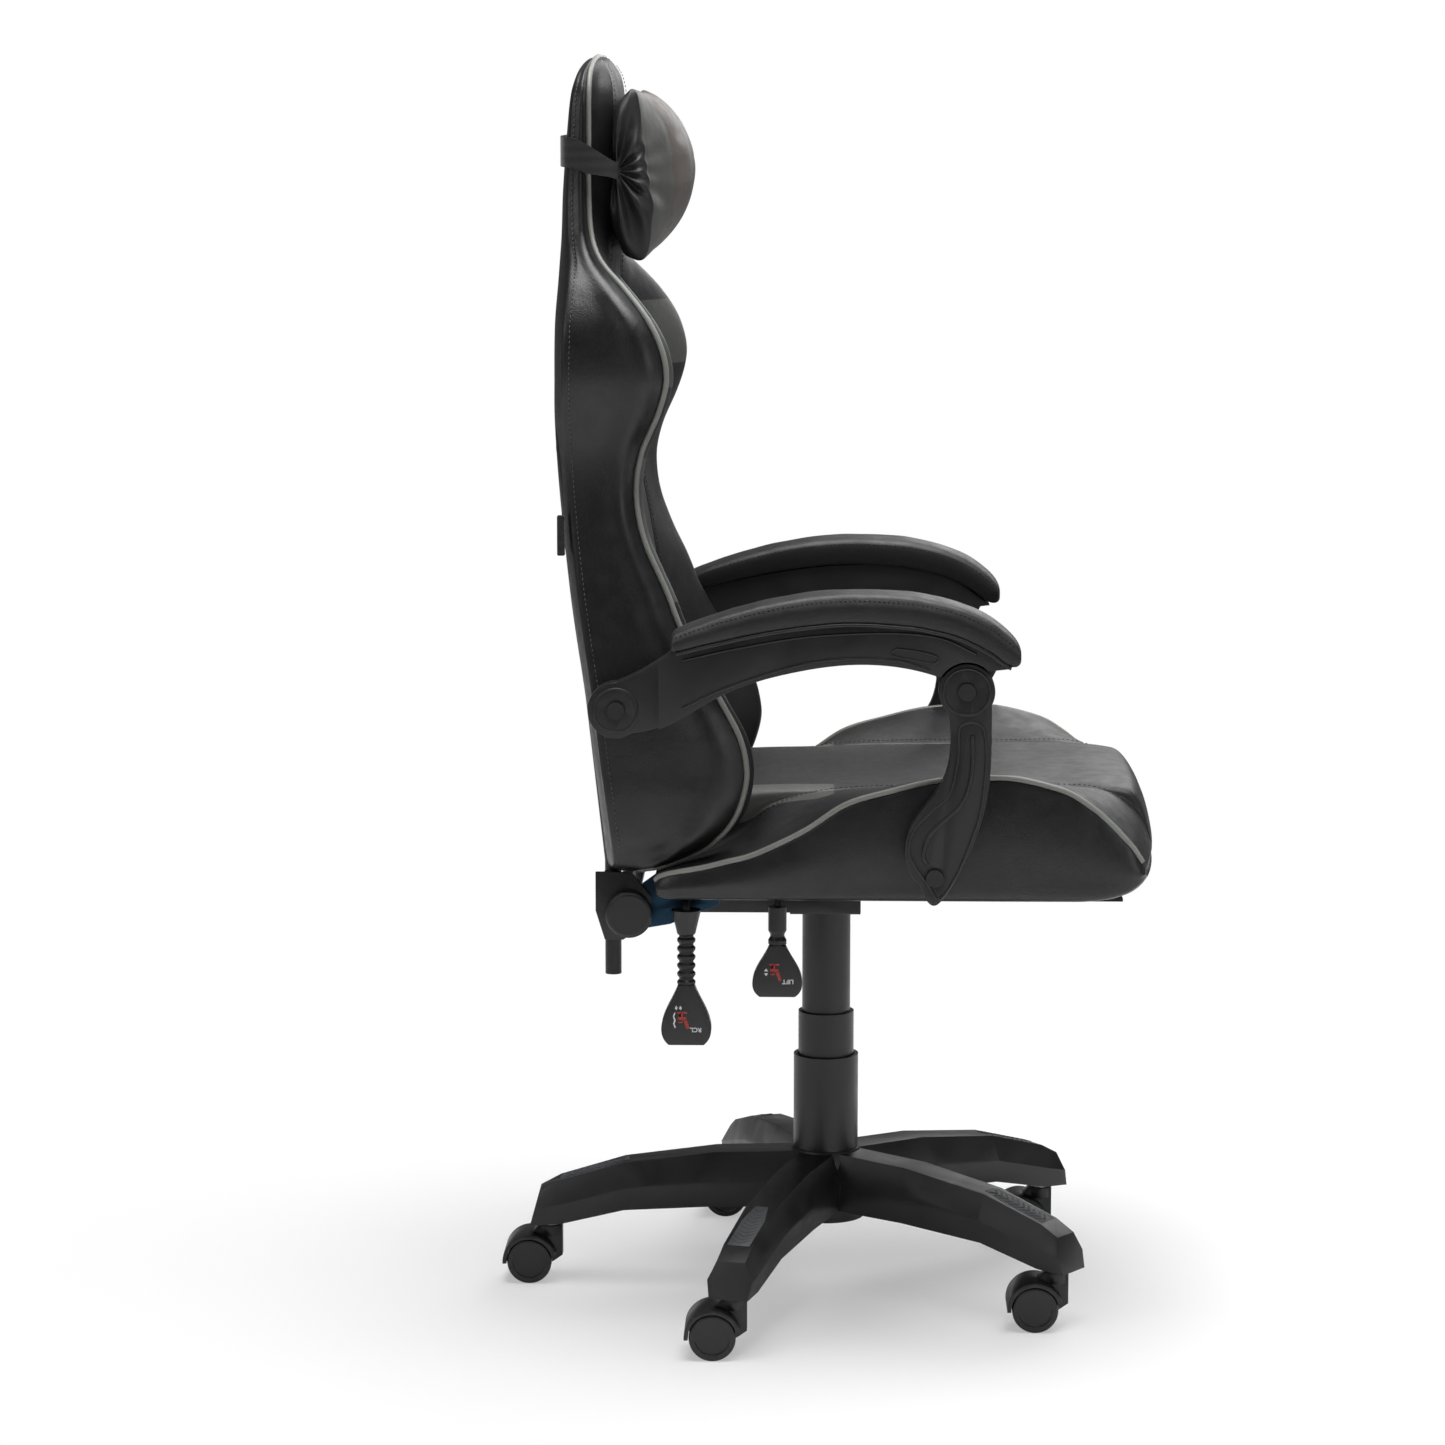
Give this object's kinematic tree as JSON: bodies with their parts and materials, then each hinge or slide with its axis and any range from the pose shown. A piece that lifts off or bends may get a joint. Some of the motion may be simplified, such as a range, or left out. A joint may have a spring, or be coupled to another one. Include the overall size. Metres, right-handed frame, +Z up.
{
  "type": "gaming chair",
  "caption": "Racing-style high-back swivel chair with bucket seat, reclining back, linked padded arms, neck pillow, gas lift and caster base.",
  "frame": {"origin": "on the gas column axis, at the floor that the casters stand on", "axes": "+X is the way the sitter faces, +Y is the sitter's left, +Z is up"},
  "size_m": [0.6648, 0.5942, 1.253],
  "materials": {
    "pu_black": "satin",
    "pu_grey": "satin",
    "cloth_black": "matte",
    "nylon_black": "satin",
    "nylon_grey": "satin",
    "wheel_black": "satin",
    "cover_black": "satin",
    "painted_steel": "satin",
    "bright_steel": "satin",
    "zinc_steel": "satin",
    "rubber_black": "satin",
    "lever_black": "satin"
  },
  "bodies": {
    "base": {"star_base": "nylon_black", "base_foot_inserts": "nylon_grey", "caster_stems": "bright_steel", "column_tube": "painted_steel", "column_bushing": "nylon_black", "cover_lower": "cover_black"},
    "cover_ring": {"cover_middle": "cover_black"},
    "piston": {"piston_rod": "bright_steel"},
    "seat": {"gas_cylinder": "bright_steel", "cover_upper": "cover_black", "seat_plate": "painted_steel", "plate_bolts": "bright_steel", "seat_frame": "painted_steel", "seat_webbing": "cloth_black", "seat_board": "cloth_black", "seat_pad": "pu_black", "seat_wing_left": "pu_black", "seat_wing_right": "pu_black", "upright_bolts": "painted_steel", "recliner_lower_left": "zinc_steel", "recliner_lower_right": "zinc_steel", "recliner_rod": "bright_steel"},
    "gas_button": {"gas_button": "bright_steel"},
    "lift_lever": {"lift_rod": "painted_steel", "lift_bellows": "rubber_black", "lift_paddle": "lever_black"},
    "recline_lever": {"recline_rod": "painted_steel", "recline_bellows": "rubber_black", "recline_paddle": "lever_black"},
    "back": {"back_frame": "painted_steel", "back_webbing": "cloth_black", "back_shell": "pu_black", "back_pad": "pu_black", "back_head": "pu_black", "back_bolster_left": "pu_black", "back_bolster_right": "pu_black", "arm_bolts": "painted_steel", "recliner_upper_left": "painted_steel", "recliner_upper_right": "painted_steel", "recliner_caps": "nylon_black"},
    "pillow": {"neck_pillow": "pu_grey", "pillow_strap": "cloth_black"},
    "arm_left": {"arm_pad_left": "pu_black", "arm_shell_left": "nylon_black"},
    "upright_left": {"upright_left": "nylon_black", "knuckle_pin_left": "painted_steel"},
    "arm_right": {"arm_pad_right": "pu_black", "arm_shell_right": "nylon_black"},
    "upright_right": {"upright_right": "nylon_black", "knuckle_pin_right": "painted_steel"},
    "caster_1": {"caster_fork_1": "nylon_black"},
    "wheels_1": {"caster_wheels_1": "wheel_black"},
    "caster_2": {"caster_fork_2": "nylon_black"},
    "wheels_2": {"caster_wheels_2": "wheel_black"},
    "caster_3": {"caster_fork_3": "nylon_black"},
    "wheels_3": {"caster_wheels_3": "wheel_black"},
    "caster_4": {"caster_fork_4": "nylon_black"},
    "wheels_4": {"caster_wheels_4": "wheel_black"},
    "caster_5": {"caster_fork_5": "nylon_black"},
    "wheels_5": {"caster_wheels_5": "wheel_black"}
  },
  "joints": [
    {"name": "seat_swivel", "type": "hinge", "parent": "base", "child": "piston", "pos_m": [0, 0, 0.07], "axis": [0, 0, 1], "continuous": true},
    {"name": "seat_height", "type": "slide", "parent": "piston", "child": "seat", "axis": [0, 0, 1], "range_m": [-0.08, 0]},
    {"name": "cover_slide", "type": "slide", "parent": "base", "child": "cover_ring", "axis": [0, 0, 1], "range_m": [-0.041, 0.001]},
    {"name": "lift_lever_tip", "type": "hinge", "parent": "seat", "child": "lift_lever", "pos_m": [-0.048, -0.083, 0.427], "axis": [-1, 0, 0], "range_deg": [0, 4], "stiffness_Nm_per_rad": 3, "springref_deg": -6.88},
    {"name": "button_press", "type": "slide", "parent": "seat", "child": "gas_button", "axis": [0, 0, 1], "range_m": [-0.0065, 0.0002]},
    {"name": "recline_lever_pull", "type": "hinge", "parent": "seat", "child": "recline_lever", "pos_m": [-0.137, -0.19, 0.437], "axis": [0, -1, 0], "range_deg": [0, 12], "stiffness_Nm_per_rad": 0.6, "springref_deg": -5.73},
    {"name": "back_recline", "type": "hinge", "parent": "seat", "child": "back", "pos_m": [-0.1935, 0, 0.425], "axis": [0, -1, 0], "range_deg": [0, 40]},
    {"name": "pillow_slide", "type": "slide", "parent": "back", "child": "pillow", "axis": [0, 0, 1], "range_m": [-0.01, 0.02]},
    {"name": "arm_hinge_left", "type": "hinge", "parent": "back", "child": "arm_left", "pos_m": [-0.203, 0.25, 0.6345], "axis": [0, -1, 0], "range_deg": [-36.2, 0.2]},
    {"name": "upright_foot_left", "type": "hinge", "parent": "seat", "child": "upright_left", "pos_m": [0.104, 0.25, 0.4743], "axis": [0, -1, 0], "range_deg": [-0.2, 45.2]},
    {"name": "arm_hinge_right", "type": "hinge", "parent": "back", "child": "arm_right", "pos_m": [-0.203, -0.25, 0.6345], "axis": [0, -1, 0], "range_deg": [-36.2, 0.2]},
    {"name": "upright_foot_right", "type": "hinge", "parent": "seat", "child": "upright_right", "pos_m": [0.104, -0.25, 0.4743], "axis": [0, -1, 0], "range_deg": [-0.2, 45.2]},
    {"name": "caster_swivel_1", "type": "hinge", "parent": "base", "child": "caster_1", "pos_m": [-0.285, 0, 0.05], "axis": [0, 0, 1], "continuous": true},
    {"name": "wheel_roll_1", "type": "hinge", "parent": "caster_1", "child": "wheels_1", "pos_m": [-0.3065, 0, 0.023], "axis": [0, 1, 0], "continuous": true},
    {"name": "caster_swivel_2", "type": "hinge", "parent": "base", "child": "caster_2", "pos_m": [-0.08807, -0.27105, 0.05], "axis": [0, 0, 1], "continuous": true},
    {"name": "wheel_roll_2", "type": "hinge", "parent": "caster_2", "child": "wheels_2", "pos_m": [-0.10957, -0.27105, 0.023], "axis": [0, 1, 0], "continuous": true},
    {"name": "caster_swivel_3", "type": "hinge", "parent": "base", "child": "caster_3", "pos_m": [0.23057, -0.16752, 0.05], "axis": [0, 0, 1], "continuous": true},
    {"name": "wheel_roll_3", "type": "hinge", "parent": "caster_3", "child": "wheels_3", "pos_m": [0.20907, -0.16752, 0.023], "axis": [0, 1, 0], "continuous": true},
    {"name": "caster_swivel_4", "type": "hinge", "parent": "base", "child": "caster_4", "pos_m": [0.23057, 0.16752, 0.05], "axis": [0, 0, 1], "continuous": true},
    {"name": "wheel_roll_4", "type": "hinge", "parent": "caster_4", "child": "wheels_4", "pos_m": [0.20907, 0.16752, 0.023], "axis": [0, 1, 0], "continuous": true},
    {"name": "caster_swivel_5", "type": "hinge", "parent": "base", "child": "caster_5", "pos_m": [-0.08807, 0.27105, 0.05], "axis": [0, 0, 1], "continuous": true},
    {"name": "wheel_roll_5", "type": "hinge", "parent": "caster_5", "child": "wheels_5", "pos_m": [-0.10957, 0.27105, 0.023], "axis": [0, 1, 0], "continuous": true}
  ],
  "couplings": [
    {"joint": "cover_slide", "follows": "seat_height", "ratio": 0.5},
    {"joint": "button_press", "follows": "lift_lever_tip", "m_per_rad": -0.088},
    {"joint": "arm_hinge_left", "follows": "back_recline", "ratio": -0.8941},
    {"joint": "upright_foot_left", "follows": "back_recline", "ratio": 1.1191},
    {"joint": "arm_hinge_right", "follows": "back_recline", "ratio": -0.8941},
    {"joint": "upright_foot_right", "follows": "back_recline", "ratio": 1.1191}
  ]
}
